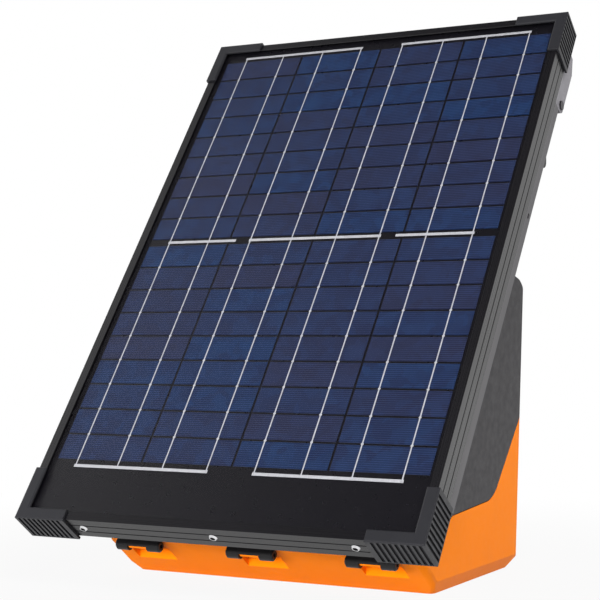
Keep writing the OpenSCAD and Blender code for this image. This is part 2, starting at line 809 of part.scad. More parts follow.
// Waste along the edge between the ramp and a wall at the right that leans outwards from x at the bottom
module ramp_edge(x, draft, d, r) {
    lean = atan(sin(ramp_angle) * tan(draft));
    translate([x - d / cos(draft), tub_front_y + d / sin(ramp_angle), 0])
        rotate([90 - ramp_angle, 0, 0]) rotate([0, lean, 0])
            translate([0, 0, -far / 4]) linear_extrude(far / 2)
                corner_waste([0, 0], [-1, 0], unit([cos(ramp_angle) * tan(draft) * cos(lean), 1]), r);
}
module body_block(d) {
    difference() {
        intersection() {
            across(-far, far) body_profile(d);
            along(-far, far) polygon(inset(front_outline, d));
        }
        both_sides() {
            upright_edge(back_y - d, 1, d, back_r - d);
            upright_edge(front_y + d, -1, d, front_r - d);
            ramp_edge(side_x(0), side_draft, d, ramp_r - d);
            ramp_edge(bottom_half, chamfer_draft, d, ramp_r - d);
        }
    }
}
// Everything above the parting line, raised by lift
module above_parting(lift) {
    rise = unit(part_points[1] - part_points[0]);
    run_out = 60;
    bend = part_points[2];
    across(-far, far) translate([0, lift]) difference() {
        polygon(concat(
            [part_points[0] - rise * run_out],
            [for (i = [1 : 3]) part_points[i]],
            [[part_bend_y + far, far * 2], [front_y - far, far * 2], [front_y - far, 0]]
        ));
        corner_waste(
            bend, unit(part_points[1] - bend), unit(part_points[3] - bend), part_bend_r
        );
    }
}
// Ring in the middle of the walls along the parting line
module rim_ring(low, high) {
    difference() {
        intersection() {
            body_block(seal_inset);
            above_parting(low);
        }
        above_parting(high);
        body_block(seal_inset + seal_w);
    }
}

// Boss that carries a hinge pin, with its neck back to the ramp
module hinge_boss() {
    across(-boss_len / 2, boss_len / 2) translate([hinge_y, hinge_z]) circle(boss_r);
    across(-boss_len / 2, boss_len / 2) polygon([
        [hinge_y, boss_low],
        [ramp_y(boss_low) + wall / 2, boss_low],
        [front_y + wall, rim_height - boss_neck_drop],
        [hinge_y + boss_r * cos(boss_neck_angle), hinge_z + boss_r * sin(boss_neck_angle)]
    ]);
}
// Block with an upright back wall at the pocket's lower edge, grown by a wall of t
module pocket_block(t) {
    back = ramp_y(pocket_low);
    front = ramp_y(pocket_top) - over;
    translate([-pocket_w / 2 - t, front, pocket_low - over - t])
        cube([pocket_w + 2 * t, back + t - front, pocket_top - pocket_low + over + 2 * t]);
}
module base_tub() {
    color(orange) difference() {
        union() {
            difference() {
                body_block(0);
                body_block(wall);
                above_parting(0);
            }
            intersection() {
                body_block(wall / 2);
                for (x = clip_places) translate([x, 0, 0]) pocket_block(wall);
            }
            for (x = clip_places) translate([x, 0, 0]) hinge_boss();
            battery_ribs();
            both_sides() translate([strap_hole_x, battery_y, wall - over / 2])
                cylinder(h = strap_boss_h + over / 2, r = strap_boss_r);
        }
        for (x = clip_places) translate([x, 0, 0]) pocket_block(0);
        translate([0, hinge_y, hinge_z]) rod_x(-far, far, hinge_pin_r + fixed_gap);
        rim_ring(-seal_depth, far / 4);
        both_sides() translate([strap_hole_x, battery_y, wall + strap_boss_h - strap_screw_bite - over])
            cylinder(h = far / 10, r = screw_r + fixed_gap);
    }
}
// Ribs on the floor that stop the battery on all four sides
module battery_ribs() {
    outer_x = battery_w / 2 + battery_gap;
    outer_y = battery_d / 2 + battery_gap;
    translate([0, battery_y, wall - over / 2]) difference() {
        translate([-outer_x - rib_t, -outer_y - rib_t, 0])
            cube([2 * (outer_x + rib_t), 2 * (outer_y + rib_t), rib_h + over / 2]);
        translate([-outer_x, -outer_y, -over]) cube([2 * outer_x, 2 * outer_y, far]);
        for (turn = [0, 90]) rotate([0, 0, turn])
            translate([-rib_break / 2, -far / 2, over]) cube([rib_break, far, far]);
    }
}
module lid_seal() {
    color([0.1, 0.1, 0.1]) rim_ring(-seal_depth, rim_gap - seal_below_lid);
}
module hinge_pins() {
    color(steel) for (x = clip_places) translate([x, hinge_y, hinge_z])
        rod_x(-clip_half + pin_inset, clip_half - pin_inset, hinge_pin_r);
}

module lid_housing() {
    color(housing_grey) difference() {
        union() {
            difference() {
                union() {
                    intersection() {
                        body_block(0);
                        above_parting(rim_gap);
                        on_panel() behind_panel(rail_back + plate_t / 2);
                    }
                    on_panel() mounting_plate();
                }
                body_block(wall);
            }
            board_bosses();
        }
        on_panel() {
            both_sides() for (s = housing_screw_places)
                translate([-rail_screw_x, s, -far]) cylinder(h = far, r = screw_r + fixed_gap);
            translate([0, gland_s, -far]) cylinder(h = far, r = gland_hole_r);
        }
        clip_screw_holes();
        board_screw_holes();
        for (x = [-terminal_x, terminal_x])
            translate([x, 0, terminal_z]) rod_y(inner_back_y - over, far, stud_r + fixed_gap);
        translate([0, 0, button_z]) rod_y(inner_back_y - over, far, bezel_neck_r + fixed_gap);
        translate([light_x, 0, button_z]) rod_y(inner_back_y - over, far, light_r + fixed_gap);
    }
}
// Everything behind the panel, from a depth behind the lip
module behind_panel(depth) {
    slab(-far, -far, 2 * far, 4 * far, depth, depth + 2 * far);
}
module mounting_plate() {
    slab(
        -plate_half, plate_start, 2 * plate_half, top_s + plate_over - plate_start,
        rail_back, rail_back + plate_t
    );
}
module board_places() {
    for (x = [-board_hole_x, board_hole_x], z = [-board_hole_z, board_hole_z])
        translate([x, 0, board_z + z]) children();
}
module board_bosses() {
    board_places() rod_y(board_back_y, inner_back_y + over / 2, board_boss_r);
}
module board_screw_holes() {
    board_places() rod_y(board_back_y - over, board_back_y + board_screw_bite + over, screw_r + fixed_gap);
}
module clip_screw_holes() {
    for (x = clip_places, dx = [-clip_screw_x, clip_screw_x])
        translate([x + dx, 0, clip_screw_z]) rod_y(front_y - far, front_y + 2 * wall, screw_r + fixed_gap);
}

// Clip on the housing's front wall: two knuckles, joined by a bar that wraps the boss's front
module clip_shape() {
    plate_front = front_y - clip_plate_t;
    room = boss_len / 2 + side_play;
    bar_half = room + knuckle_len / 2;
    difference() {
        union() {
            across(-clip_half + knuckle_bevel, clip_half - knuckle_bevel) polygon([
                [hinge_y - bar_r * cos(bar_front_angle), hinge_z + bar_r * sin(bar_front_angle)],
                [plate_front, hinge_z + clip_shoulder],
                [plate_front, clip_plate_top],
                [front_y, clip_plate_top],
                [front_y, rim_height + rim_gap + clip_rim_gap],
                [hinge_y, hinge_z + bar_bore_r]
            ]);
            across(-bar_half, bar_half) translate([hinge_y, hinge_z]) intersection() {
                circle(bar_r);
                polygon([[0, 0], [0, far], [-far, far], [-far, -bar_drop * far / bar_r]]);
            }
            both_sides() translate([room, hinge_y, hinge_z]) rotate([0, 90, 0]) {
                cylinder(h = knuckle_len - knuckle_bevel, r = knuckle_r);
                translate([0, 0, knuckle_len - knuckle_bevel])
                    cylinder(h = knuckle_bevel, r1 = knuckle_r, r2 = knuckle_r - knuckle_bevel);
            }
        }
        across(-room, room) translate([hinge_y, hinge_z]) circle(bar_bore_r);
        translate([0, hinge_y, hinge_z]) rod_x(-far, far, hinge_pin_r + running_gap);
        for (dx = [-clip_screw_x, clip_screw_x])
            translate([dx, 0, clip_screw_z]) rod_y(-far, far, screw_r + fixed_gap);
    }
}
module hinge_clip_left() { color(clip_black) translate([clip_places[0], 0, 0]) clip_shape(); }
module hinge_clip_middle() { color(clip_black) translate([clip_places[1], 0, 0]) clip_shape(); }
module hinge_clip_right() { color(clip_black) translate([clip_places[2], 0, 0]) clip_shape(); }
module clip_screws() {
    color(steel) for (x = clip_places, dx = [-clip_screw_x, clip_screw_x])
        translate([x + dx, front_y - clip_plate_t, clip_screw_z]) rotate([90, 0, 0])
            screw(clip_plate_t + wall + clip_screw_proud);
}

module circuit_board() {
    color([0.1, 0.35, 0.15]) difference() {
        translate([-board_w / 2, board_front_y, board_z - board_h / 2]) cube([board_w, board_t, board_h]);
        board_places() rod_y(board_front_y - over, board_back_y + over, screw_r + fixed_gap);
    }
}
module board_screws() {
    color(steel) board_places() translate([0, board_front_y, 0]) rotate([90, 0, 0])
        screw(board_t + board_screw_bite);
}
module pulse_transformer() {
    core = [46, 30, 40];
    leg = 11;
    coil_r = 15;
    color([0.25, 0.22, 0.2]) translate([-40, board_front_y - core[1], board_z]) union() {
        difference() {
            translate([-core[0] / 2, 0, -core[2] / 2]) cube(core);
            translate([-core[0] / 2 + leg, -over, -core[2] / 2 + leg])
                cube([core[0] - 2 * leg, core[1] + 2 * over, core[2] - 2 * leg]);
        }
        translate([0, core[1] / 2, -core[2] / 2 + leg - over / 4])
            cylinder(h = core[2] - 2 * leg + over / 2, r = min(coil_r, core[1] / 2));
    }
}
module storage_capacitor() {
    can_r = 17;
    can_len = 52;
    bead_r = 1.2;
    bead_out = 0.4;
    bead_from_end = 6;
    edge_r = 2;
    color([0.3, 0.32, 0.36]) translate([20, board_front_y - can_r, board_z - 12]) rotate([0, 90, 0])
        rotate_extrude() difference() {
            square([can_r, can_len]);
            translate([can_r + bead_out, can_len - bead_from_end]) circle(bead_r);
            corner_waste([can_r, 0], [-1, 0], [0, 1], edge_r);
            corner_waste([can_r, can_len], [-1, 0], [0, -1], edge_r);
        }
}
module switch_body() {
    body_w = 14;
    plunger_r = 3;
    body_d = 4;
    plunger_y = button_back_y - button_travel - side_play;
    color(clip_black) union() {
        translate([-body_w / 2, board_back_y, button_z - body_w / 2]) cube([body_w, body_d, body_w]);
        translate([0, 0, button_z]) rod_y(board_back_y + body_d / 2, plunger_y, plunger_r);
    }
}
module button_bezel() {
    bezel_tail = 2;
    color(clip_black) translate([0, 0, button_z]) difference() {
        union() {
            rod_y(back_y, back_y + bezel_out, bezel_r);
            rod_y(inner_back_y - bezel_tail, back_y + over / 2, bezel_neck_r);
        }
        rod_y(-far, far, button_r + running_gap);
    }
}
module power_button() {
    edge = 1.2;
    length = button_out + button_guide;
    color([0.75, 0.1, 0.08]) translate([0, button_back_y, button_z]) rotate([-90, 0, 0])
        rotate_extrude() difference() {
            square([button_r, length]);
            corner_waste([button_r, length], [-1, 0], [0, -1], edge);
        }
}
module status_light() {
    tail = 1;
    flange = 0.8;
    color([0.3, 0.85, 0.35]) translate([light_x, back_y, button_z]) rotate([-90, 0, 0]) union() {
        translate([0, 0, -wall - tail]) cylinder(h = wall + tail, r = light_r);
        cylinder(h = flange, r1 = light_r + flange, r2 = light_r);
    }
}
module at_terminals() {
    for (x = [-terminal_x, terminal_x]) translate([x, back_y, terminal_z]) children();
}
module terminal_bases() {
    color(clip_black) at_terminals() rotate([-90, 0, 0]) rotate_extrude() difference() {
        translate([stud_r + fixed_gap, 0]) square([base_r - stud_r - fixed_gap, base_t]);
        corner_waste([base_r, base_t], [-1, 0], [0, -1], base_edge);
    }
}
module terminal_nuts() {
    nut_r = stud_r + 3.5;
    nut_t = 5;
    color(brass) at_terminals() translate([0, -wall, 0]) rotate([90, 0, 0]) difference() {
        cylinder(h = nut_t, r = nut_r, $fn = 6);
        translate([0, 0, -over]) cylinder(h = nut_t + 2 * over, r = stud_r + fixed_gap);
    }
}
module stud_at(x) {
    color(brass) translate([x, back_y, terminal_z]) difference() {
        rod_y(-wall - stud_in, stud_out, stud_r);
        translate([0, (base_t + knob_gap) / 2, 0]) cylinder(h = far, r = wire_hole_r, center = true);
    }
}
module fence_stud() { stud_at(-terminal_x); }
module earth_stud() { stud_at(terminal_x); }
// Scalloped knob on a stud
module knob_shape() {
    scallops = 6;
    scallop_r = 5;
    scallop_out = knob_r + 2.75;
    scallop_start = 3.4;
    crown = 2;
    rotate([-90, 0, 0]) difference() {
        rotate_extrude() difference() {
            square([knob_r, knob_h]);
            corner_waste([knob_r, knob_h], [-1, 0], [0, -1], crown);
        }
        for (i = [0 : scallops - 1]) rotate([0, 0, i * 360 / scallops])
            translate([scallop_out, 0, scallop_start]) cylinder(h = knob_h, r = scallop_r);
        translate([0, 0, -over]) cylinder(h = knob_bore + over, r = stud_r + running_gap);
    }
}
module fence_knob() {
    color([0.78, 0.08, 0.06]) translate([-terminal_x, back_y + knob_gap, terminal_z]) knob_shape();
}
module earth_knob() {
    color([0.08, 0.5, 0.18]) translate([terminal_x, back_y + knob_gap, terminal_z]) knob_shape();
}

module battery() {
    lid_h = 7;
    lid_in = 1;
    color([0.2, 0.2, 0.22]) translate([-battery_w / 2, battery_front_y, wall]) union() {
        cube([battery_w, battery_d, battery_h - lid_h]);
        translate([lid_in, lid_in, battery_h - lid_h - over / 10])
            cube([battery_w - 2 * lid_in, battery_d - 2 * lid_in, lid_h + over / 10]);
    }
}
module battery_terminals() {
    tab = [6.3, 0.8, 6];
    color(brass) for (x = [-battery_w / 2 + 14, battery_w / 2 - 14 - tab[0]])
        translate([x, battery_front_y + 10, wall + battery_h]) cube(tab);
}
module battery_strap() {
    strap_top = wall + battery_h + strap_gap;
    foot_z = wall + strap_boss_h;
    outer_x = strap_leg_x + strap_t;
    foot_len = strap_hole_x - strap_leg_x + strap_foot / 2;
    color(steel) difference() {
        translate([0, battery_y - strap_w / 2, foot_z]) union() {
            difference() {
                translate([-outer_x, 0, 0]) cube([2 * outer_x, strap_w, strap_top + strap_t - foot_z]);
                translate([-strap_leg_x, -over, -over])
                    cube([2 * strap_leg_x, strap_w + 2 * over, strap_top - foot_z + over]);
            }
            both_sides() translate([strap_leg_x, 0, 0]) cube([foot_len, strap_w, strap_t]);
        }
        both_sides() translate([strap_hole_x, battery_y, 0]) cylinder(h = far, r = screw_r + fixed_gap);
    }
}
module strap_screws() {
    color(steel) both_sides() translate([strap_hole_x, battery_y, wall + strap_boss_h + strap_t])
        screw(strap_t + strap_screw_bite);
}

panel_glass();
solar_cells();
cell_ribbons();
backsheet();
frame_rail_left();
frame_rail_right();
frame_rail_top();
frame_rail_bottom();
corner_guard_lower_left();
corner_guard_lower_right();
corner_guard_upper_left();
corner_guard_upper_right();
bottom_rivets();
panel_rail_left();
panel_rail_right();
rail_rivets();
junction_box();
lid_housing();
housing_screws();
hinge_clip_left();
hinge_clip_middle();
hinge_clip_right();
clip_screws();
handle_ear_left();
handle_ear_right();
ear_screws();
handle_pins();
circuit_board();
board_screws();
pulse_transformer();
storage_capacitor();
switch_body();
button_bezel();
status_light();
terminal_bases();
terminal_nuts();
fence_stud();
earth_stud();
base_tub();
hinge_pins();
battery();
battery_terminals();
battery_strap();
strap_screws();
lid_seal();
carry_handle();
handle_grip();
power_button();
fence_knob();
earth_knob();
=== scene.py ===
import json
import math

import bmesh
import bpy
from mathutils import Matrix, Vector


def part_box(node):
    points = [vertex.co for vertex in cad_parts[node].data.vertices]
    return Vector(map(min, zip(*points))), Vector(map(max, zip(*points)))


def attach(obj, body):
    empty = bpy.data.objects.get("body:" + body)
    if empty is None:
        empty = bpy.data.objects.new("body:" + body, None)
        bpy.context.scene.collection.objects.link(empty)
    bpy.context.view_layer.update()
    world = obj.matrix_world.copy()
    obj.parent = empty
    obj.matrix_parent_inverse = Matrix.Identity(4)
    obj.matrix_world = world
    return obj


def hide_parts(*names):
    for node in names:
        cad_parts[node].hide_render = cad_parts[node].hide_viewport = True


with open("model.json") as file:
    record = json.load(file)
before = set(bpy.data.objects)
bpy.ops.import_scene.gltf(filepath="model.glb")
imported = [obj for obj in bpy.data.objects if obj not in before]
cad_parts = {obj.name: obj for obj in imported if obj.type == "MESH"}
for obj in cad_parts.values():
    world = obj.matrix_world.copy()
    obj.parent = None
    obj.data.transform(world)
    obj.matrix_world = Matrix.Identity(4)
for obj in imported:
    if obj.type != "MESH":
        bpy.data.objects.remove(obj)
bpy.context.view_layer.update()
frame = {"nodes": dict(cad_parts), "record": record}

# Sizes in metres, angles in radians, in the frame of the CAD model
MM = 0.001
WELD = 0.002 * MM
SAME_LEVEL = 0.01 * MM
SHARP_EDGE = math.radians(32)
FLAT_EDGE = math.radians(0.4)
QUARTER_TURN = math.radians(90)
WHITE = (1, 1, 1, 1)

# Panel, cells and ribbons
PANEL_TILT = math.radians(53.5)
FRAME_DEPTH = 24 * MM
CELL_COLUMNS = 4
CELL_PITCH_X = 80 * MM
CELL_PITCH_Y = 24.2 * MM
CELL_GAP_Y = 1.9 * MM
ROWS_PER_HALF = 9
FIELD_BOTTOM = 55.8 * MM
MID_STRIP = 8 * MM
MID_SHIFT = MID_STRIP - CELL_GAP_Y
FINGER_PITCH = 1.86 * MM
RIBBON_OFFSET = 19.5 * MM
RIBBON_FRONT = 3.2 * MM

# Blind rivets in the bottom rail's lower face, with painted shade in their hollows
RIVET_PITCH = 115 * MM
RIVET_DEPTH = 11.6 * MM
RIVET_PAINTED_SHADE_R = 1.9 * MM
RIVET_RIM_R = 2.3 * MM

# Camera of the photograph
CAMERA_AT = Vector((0.58036, -1.11302, 0.19026))
CAMERA_FORWARD = Vector((-0.469029, 0.882844, 0.024474))
CAMERA_ROLL = math.radians(0.0675)
CAMERA_LENS = 92.245
CAMERA_SENSOR = 36

nodes = frame["nodes"]
body_of = {n: body for body, names in frame["record"]["behaviour"]["bodies"].items() for n in names}
slot_of = {part["node"]: part["material_slot"] for part in frame["record"]["subparts"]}

# The panel's own axes: x across, y up the slope, z out of its face, from the frame's lower front edge
rail_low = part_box("frame_rail_bottom")[0]
PANEL_FOOT = Vector((0, rail_low.y, rail_low.z + FRAME_DEPTH * math.cos(PANEL_TILT)))
PANEL_PLACE = Matrix.Translation(PANEL_FOOT) @ Matrix.Rotation(PANEL_TILT, 4, "X")
PANEL_BACK = Vector((0, math.sin(PANEL_TILT), -math.cos(PANEL_TILT)))


def srgb(red, green, blue):
    """A linear colour from the values that a screen shows, 0 to 255."""
    def linear(value):
        share = value / 255
        return share / 12.92 if share <= 0.04045 else ((share + 0.055) / 1.055) ** 2.4
    return (linear(red), linear(green), linear(blue), 1)


def shaded(colour, factor):
    """A colour made darker or lighter by a factor."""
    return tuple(channel * factor for channel in colour[:3]) + (1,)


class Wiring:
    """Short ways to add shader nodes to a tree."""

    def __init__(self, tree):
        self.tree = tree

    def put(self, socket, value):
        """Link an output to a socket, or set the socket's value."""
        if isinstance(value, bpy.types.NodeSocket):
            self.tree.links.new(value, socket)
        else:
            socket.default_value = value

    def node(self, kind, inputs=None, **settings):
        made = self.tree.nodes.new("ShaderNode" + kind)
        for setting, value in settings.items():
            setattr(made, setting, value)
        for socket, value in (inputs or {}).items():
            self.put(made.inputs[socket], value)
        return made

    def math(self, operation, *values):
        return self.node("Math", dict(enumerate(values)), operation=operation).outputs["Value"]

    def added(self, first, second):
        return self.node("VectorMath", {0: first, 1: second}, operation="ADD").outputs["Vector"]

    def scaled(self, vector, factor):
        return self.node("VectorMath", {0: vector, "Scale": factor}, operation="SCALE").outputs["Vector"]

    def axes(self, vector):
        return self.node("SeparateXYZ", {"Vector": vector}).outputs

    def between(self, value, low, high, low_from=0.3, high_from=0.7, curve="LINEAR"):
        """A number that goes from low to high as the value does from low_from to high_from."""
        inputs = {"Value": value, "From Min": low_from, "From Max": high_from, "To Min": low, "To Max": high}
        return self.node("MapRange", inputs, interpolation_type=curve).outputs["Result"]

    def mix(self, factor, first, second):
        """A colour between two, by the Mix node's sockets for colours."""
        return self.node("Mix", {0: factor, 6: first, 7: second}, data_type="RGBA").outputs[2]

    def mix_shaders(self, factor, first, second):
        return self.node("MixShader", {0: factor, 1: first, 2: second}).outputs["Shader"]

    def seen_by(self, *rays):
        """1 for rays of the named kinds, 0 for the rest."""
        path = self.node("LightPath").outputs
        share = path[rays[0]]
        for ray in rays[1:]:
            share = self.math("MAXIMUM", share, path[ray])
        return share


class Finish(Wiring):
    """A material with one Principled shader and the patterns before it."""

    def __init__(self, name, **sockets):
        self.material = bpy.data.materials.new(name)
        self.material.use_nodes = True
        super().__init__(self.material.node_tree)
        self.shader = self.tree.nodes["Principled BSDF"]
        for socket, value in sockets.items():
            self.set(socket.replace("_", " "), value)

    def set(self, socket, value):
        self.put(self.shader.inputs[socket], value)

    def surface(self, shader):
        self.put(self.tree.nodes["Material Output"].inputs["Surface"], shader)

    def place(self):
        return self.node("TexCoord").outputs["Object"]

    def panel_place(self):
        """Object coordinates turned into the panel's own axes."""
        inputs = {"Vector": self.place(), "Location": PANEL_FOOT, "Rotation": (PANEL_TILT, 0, 0)}
        return self.node("Mapping", inputs, vector_type="TEXTURE").outputs["Vector"]

    def stretched(self, vector, scale):
        return self.node("Mapping", {"Vector": vector, "Scale": scale}).outputs["Vector"]

    def noise(self, vector, scale, detail=3, rough=0.55):
        inputs = {"Vector": vector, "Scale": scale, "Detail": detail, "Roughness": rough}
        return self.node("TexNoise", inputs).outputs["Fac"]

    def off_middle(self, value, step):
        """How far a value lies from the middle of its step, as a share of the step."""
        share = self.math("FRACT", self.math("DIVIDE", value, step))
        return self.math("ABSOLUTE", self.math("SUBTRACT", share, 0.5))

    def mottled(self, colour, scale, mottle):
        """Make the base colour a little darker and lighter in soft patches."""
        patch = self.between(self.noise(self.place(), scale), 0, 1)
        self.set("Base Color", self.mix(patch, shaded(colour, 1 - mottle), shaded(colour, 1 + mottle)))

    def bump(self, height, strength, distance):
        inputs = {"Height": height, "Strength": strength, "Distance": distance}
        self.set("Normal", self.node("Bump", inputs).outputs["Normal"])


GRAIN_SIZE = 0.5 * MM
GRAIN_DEPTH = 0.1 * MM


def moulded(name, colour, roughness=0.5, gloss=0.4, grain=0.25, spread=0.055, mottle=0.05):
    """Moulded plastic: a fine spark-eroded grain, with a spread of roughness and a mottle of colour."""
    finish = Finish(name, Specular_IOR_Level=gloss)
    finish.mottled(colour, scale=28, mottle=mottle)
    uneven = finish.noise(finish.place(), scale=160)
    finish.set("Roughness", finish.between(uneven, roughness - spread, roughness + spread))
    finish.bump(finish.noise(finish.place(), scale=1 / GRAIN_SIZE, detail=2), grain, GRAIN_DEPTH)
    return finish.material


def anodised(name, colour, scale, roughness=0.28, ior=1.7):
    """Anodised extrusion: faint drawing lines along its length, given by the scale on each panel axis."""
    finish = Finish(name, IOR=ior)
    finish.mottled(colour, scale=22, mottle=0.1)
    lines = finish.noise(finish.stretched(finish.panel_place(), scale), scale=1, detail=4)
    finish.set("Roughness", finish.between(lines, roughness - 0.06, roughness + 0.08))
    finish.bump(lines, strength=0.06, distance=0.05 * MM)
    return finish.material


def silicon(name):
    """Polycrystalline cells: grains and a tint of their own in each cell, crossed by fine finger lines."""
    crystal_scale, bend_scale, bend_size = 120, 90, 0.012
    finger_share = 0.22
    finish = Finish(name, Roughness=0.32, Specular_IOR_Level=0.2)
    across, up, _ = finish.axes(finish.panel_place())
    field_half = CELL_COLUMNS * CELL_PITCH_X / 2
    field_middle = FIELD_BOTTOM + ROWS_PER_HALF * CELL_PITCH_Y
    shift = finish.math("MULTIPLY", finish.math("GREATER_THAN", up, field_middle), MID_SHIFT)
    row_place = finish.math("SUBTRACT", finish.math("SUBTRACT", up, FIELD_BOTTOM - CELL_GAP_Y / 2), shift)
    column = finish.math("DIVIDE", finish.math("ADD", across, field_half), CELL_PITCH_X)
    row = finish.math("DIVIDE", row_place, CELL_PITCH_Y)
    cell = finish.node("CombineXYZ", {"X": finish.math("FLOOR", column), "Y": finish.math("FLOOR", row)})
    chance = finish.node("TexWhiteNoise", {"Vector": cell.outputs["Vector"]}, noise_dimensions="3D").outputs
    # Grains start anew in each cell, because its chance moves their pattern
    moved = finish.added(finish.panel_place(), chance["Color"])
    bent = finish.node("TexNoise", {"Vector": moved, "Scale": bend_scale, "Detail": 2}).outputs["Color"]
    grain_at = finish.added(moved, finish.scaled(bent, bend_size))
    crystal = finish.node("TexVoronoi", {"Vector": grain_at, "Scale": crystal_scale}, feature="F1")
    grain = finish.node("SeparateColor", {"Color": crystal.outputs["Color"]}).outputs["Red"]
    deep = finish.mix(chance["Value"], srgb(12, 26, 55), srgb(24, 26, 46))
    light = finish.mix(chance["Value"], srgb(16, 39, 71), srgb(26, 32, 57))
    crystals = finish.mix(finish.between(grain, 0, 0.8, 0.1, 1), deep, light)
    # Thin printed fingers along each cell
    finger = finish.between(finish.off_middle(row_place, FINGER_PITCH), finger_share, 0, 0.03, 0.12)
    finish.set("Base Color", finish.mix(finger, crystals, srgb(104, 116, 150)))
    return finish.material


def cover_glass(name):
    """Clear glass with an anti-glare coat: see-through, with a faint reflection on its outer sides."""
    coated_share = 0.4
    finish = Finish(name)
    finish.tree.nodes.remove(finish.shader)
    clear = finish.node("BsdfTransparent").outputs["BSDF"]
    gloss = finish.node("BsdfGlossy", {"Roughness": 0.24}).outputs["BSDF"]
    rim = finish.node("Fresnel", {"IOR": 1.42}).outputs["Fac"]
    inner = finish.node("NewGeometry").outputs["Backfacing"]
    outer = finish.math("MULTIPLY_ADD", inner, -coated_share, coated_share)
    finish.surface(finish.mix_shaders(finish.math("MULTIPLY", rim, outer), clear, gloss))
    return finish.material


def metal(name, colour, roughness=0.32):
    """Bare or plated metal with faint stains and a fine uneven gloss."""
    finish = Finish(name, Metallic=1)
    stain = finish.noise(finish.place(), scale=60)
    finish.set("Base Color", finish.mix(stain, shaded(colour, 0.88), colour))
    uneven = finish.noise(finish.place(), scale=900)
    finish.set("Roughness", finish.between(uneven, roughness - 0.08, roughness + 0.1))
    return finish.material


def tinned(name):
    """Tinned ribbon: pale satin metal, uneven along its length."""
    finish = Finish(name, Metallic=0.1)
    place = finish.stretched(finish.panel_place(), (900, 160, 1))
    stain = finish.noise(place, scale=1)
    finish.set("Base Color", finish.mix(stain, srgb(138, 138, 143), srgb(174, 174, 179)))
    finish.set("Roughness", finish.between(finish.noise(place, scale=1.7), 0.35, 0.5))
    return finish.material


def blind_rivet(name):
    """Plated rivet head seen along the panel's slope: painted shade darkens its hollow, and the pale ring is
    plating brightened as a painted highlight.
    """
    finish = Finish(name, Metallic=1, Roughness=0.3)
    across, _, out = finish.axes(finish.panel_place())
    step = finish.math("ROUND", finish.math("DIVIDE", across, RIVET_PITCH))
    aside = finish.math("SUBTRACT", across, finish.math("MULTIPLY", step, RIVET_PITCH))
    deep = finish.math("ADD", out, RIVET_DEPTH)
    square = finish.math("ADD", finish.math("MULTIPLY", aside, aside), finish.math("MULTIPLY", deep, deep))
    # Painted shade: dark inside the hollow's radius, then pale plating out to the rim, brightened as a
    # painted highlight
    rim = finish.between(finish.math("SQRT", square), 0, 1, RIVET_PAINTED_SHADE_R, RIVET_RIM_R)
    finish.set("Base Color", finish.mix(rim, srgb(22, 21, 22), srgb(236, 236, 238)))
    return finish.material


def printed_board(name):
    """Solder mask over copper: paler where the tracks run, with a faint gloss."""
    finish = Finish(name, Roughness=0.32)
    turn = finish.node("Mapping", {"Vector": finish.place(), "Rotation": (-QUARTER_TURN, 0, 0)})
    inputs = {
        "Vector": turn.outputs["Vector"], "Scale": 90,
        "Brick Width": 1.3, "Row Height": 0.32, "Mortar Size": 0.035,
        "Color1": srgb(18, 84, 44), "Color2": srgb(24, 98, 52), "Mortar": srgb(48, 132, 74),
    }
    tracks = finish.node("TexBrick", inputs, offset=0.37, squash=1.6).outputs
    finish.set("Base Color", tracks["Color"])
    finish.bump(tracks["Fac"], strength=0.3, distance=0.05 * MM)
    return finish.material


def laminated(name, colour, pitch):
    """Stacked core sheets, with their edges as fine lines through the depth."""
    finish = Finish(name, Metallic=0.3)
    depth = finish.axes(finish.place())["Y"]
    edge = finish.between(finish.off_middle(depth, pitch), 0, 1, 0.3, 0.48)
    worn = finish.between(finish.noise(finish.place(), scale=140), 0.85, 1.15)
    shade = finish.math("MULTIPLY", finish.between(edge, 1, 0.5, 0, 1), worn)
    finish.set("Base Color", finish.scaled(colour[:3], shade))
    finish.set("Roughness", finish.between(finish.noise(finish.place(), scale=300), 0.35, 0.55))
    return finish.material


def dress(piece, material):
    piece.data.materials.clear()
    piece.data.materials.append(material)


def link_object(name, data):
    made = bpy.data.objects.new(name, data)
    bpy.context.scene.collection.objects.link(made)
    return made


def link_mesh(name, mesh):
    """An object at the origin that takes over a bmesh."""
    data = bpy.data.meshes.new(name)
    mesh.to_mesh(data)
    mesh.free()
    return link_object(name, data)


def link_piece(name, mesh, body, material):
    """A piece of the object that moves with a body."""
    piece = link_mesh(name, mesh)
    dress(piece, material)
    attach(piece, body)
    return piece


def welded(node):
    """A bmesh of a CAD node, with its doubled points joined."""
    mesh = bmesh.new()
    mesh.from_mesh(nodes[node].data)
    bmesh.ops.remove_doubles(mesh, verts=mesh.verts, dist=WELD)
    return mesh


def bevelled(mesh, edges, width, segments=2):
    bmesh.ops.bevel(
        mesh, geom=edges, offset=width, offset_type="OFFSET", affect="EDGES", segments=segments,
        profile=0.5, material=-1, clamp_overlap=True)


def sharp_edges(mesh):
    return [e for e in mesh.edges if e.calc_face_angle(0) > SHARP_EDGE]


def front_edges(mesh):
    """The sharp edges around the foremost face, seen along the panel's own axes."""
    to_panel = PANEL_PLACE.inverted()
    front = max((to_panel @ v.co).z for v in mesh.verts)
    level = {v for v in mesh.verts if (to_panel @ v.co).z > front - SAME_LEVEL}
    return [e for e in sharp_edges(mesh) if level.issuperset(e.verts)]


def rounded(node, width, front_width):
    """A copy of a CAD node with its sharp edges rounded, which stands for the node."""
    mesh = welded(node)
    bmesh.ops.dissolve_limit(
        mesh, angle_limit=FLAT_EDGE, verts=mesh.verts, edges=mesh.edges, delimit={"SHARP"})
    if front_width:
        bevelled(mesh, front_edges(mesh), front_width, segments=3)
    bevelled(mesh, sharp_edges(mesh), width)
    for face in mesh.faces:
        face.smooth = True
    piece = link_piece(node + "_shell", mesh, body_of[node], nodes[node].data.materials[0])
    piece.modifiers.new("even_shade", "WEIGHTED_NORMAL").keep_sharp = True
    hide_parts(node)


